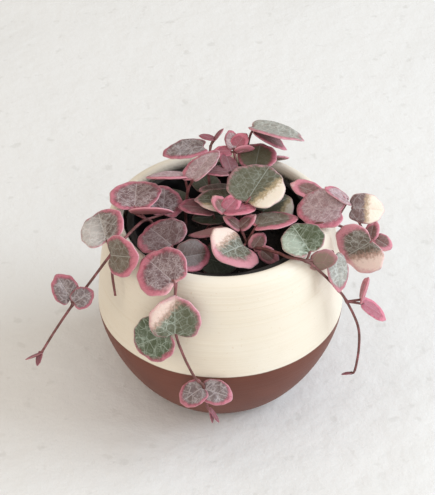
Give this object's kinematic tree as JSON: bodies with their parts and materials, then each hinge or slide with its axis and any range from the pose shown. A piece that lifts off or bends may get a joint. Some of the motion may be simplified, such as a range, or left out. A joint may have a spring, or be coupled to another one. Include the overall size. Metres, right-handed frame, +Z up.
{
  "type": "string of hearts in a pot",
  "caption": "Trailing plant with notched, heart-shaped fleshy leaves on thin stems, in a bowl-shaped ceramic pot with a black liner and soil.",
  "frame": {"origin": "centre of the pot's flat base, on the surface it stands on", "axes": "+Z up along the pot's axis; -Y is the front, where one stem trails down the pot's wall; +X is the right of the front view"},
  "size_m": [0.1431, 0.1101, 0.1039],
  "materials": {
    "glazed_ceramic": "satin fired glaze, cream above and brown below",
    "black_plastic": "thin moulded black plastic",
    "potting_mix": "dark crumbly potting mix",
    "foliage": "fleshy leaves, grey-green with silver veins, cream sectors and pink margins, on maroon stems"
  },
  "bodies": {
    "root": {"pot": "glazed_ceramic", "nursery_pot": "black_plastic", "soil": "potting_mix", "vine_left": "foliage", "vine_front": "foliage", "vine_right": "foliage", "vine_side": "foliage", "crown_front": "foliage", "crown_low": "foliage", "crown_mid": "foliage", "crown_dark": "foliage", "crown_right": "foliage", "crown_back": "foliage", "crown_tall": "foliage", "crown_left": "foliage", "crown_far": "foliage"}
  },
  "joints": []
}
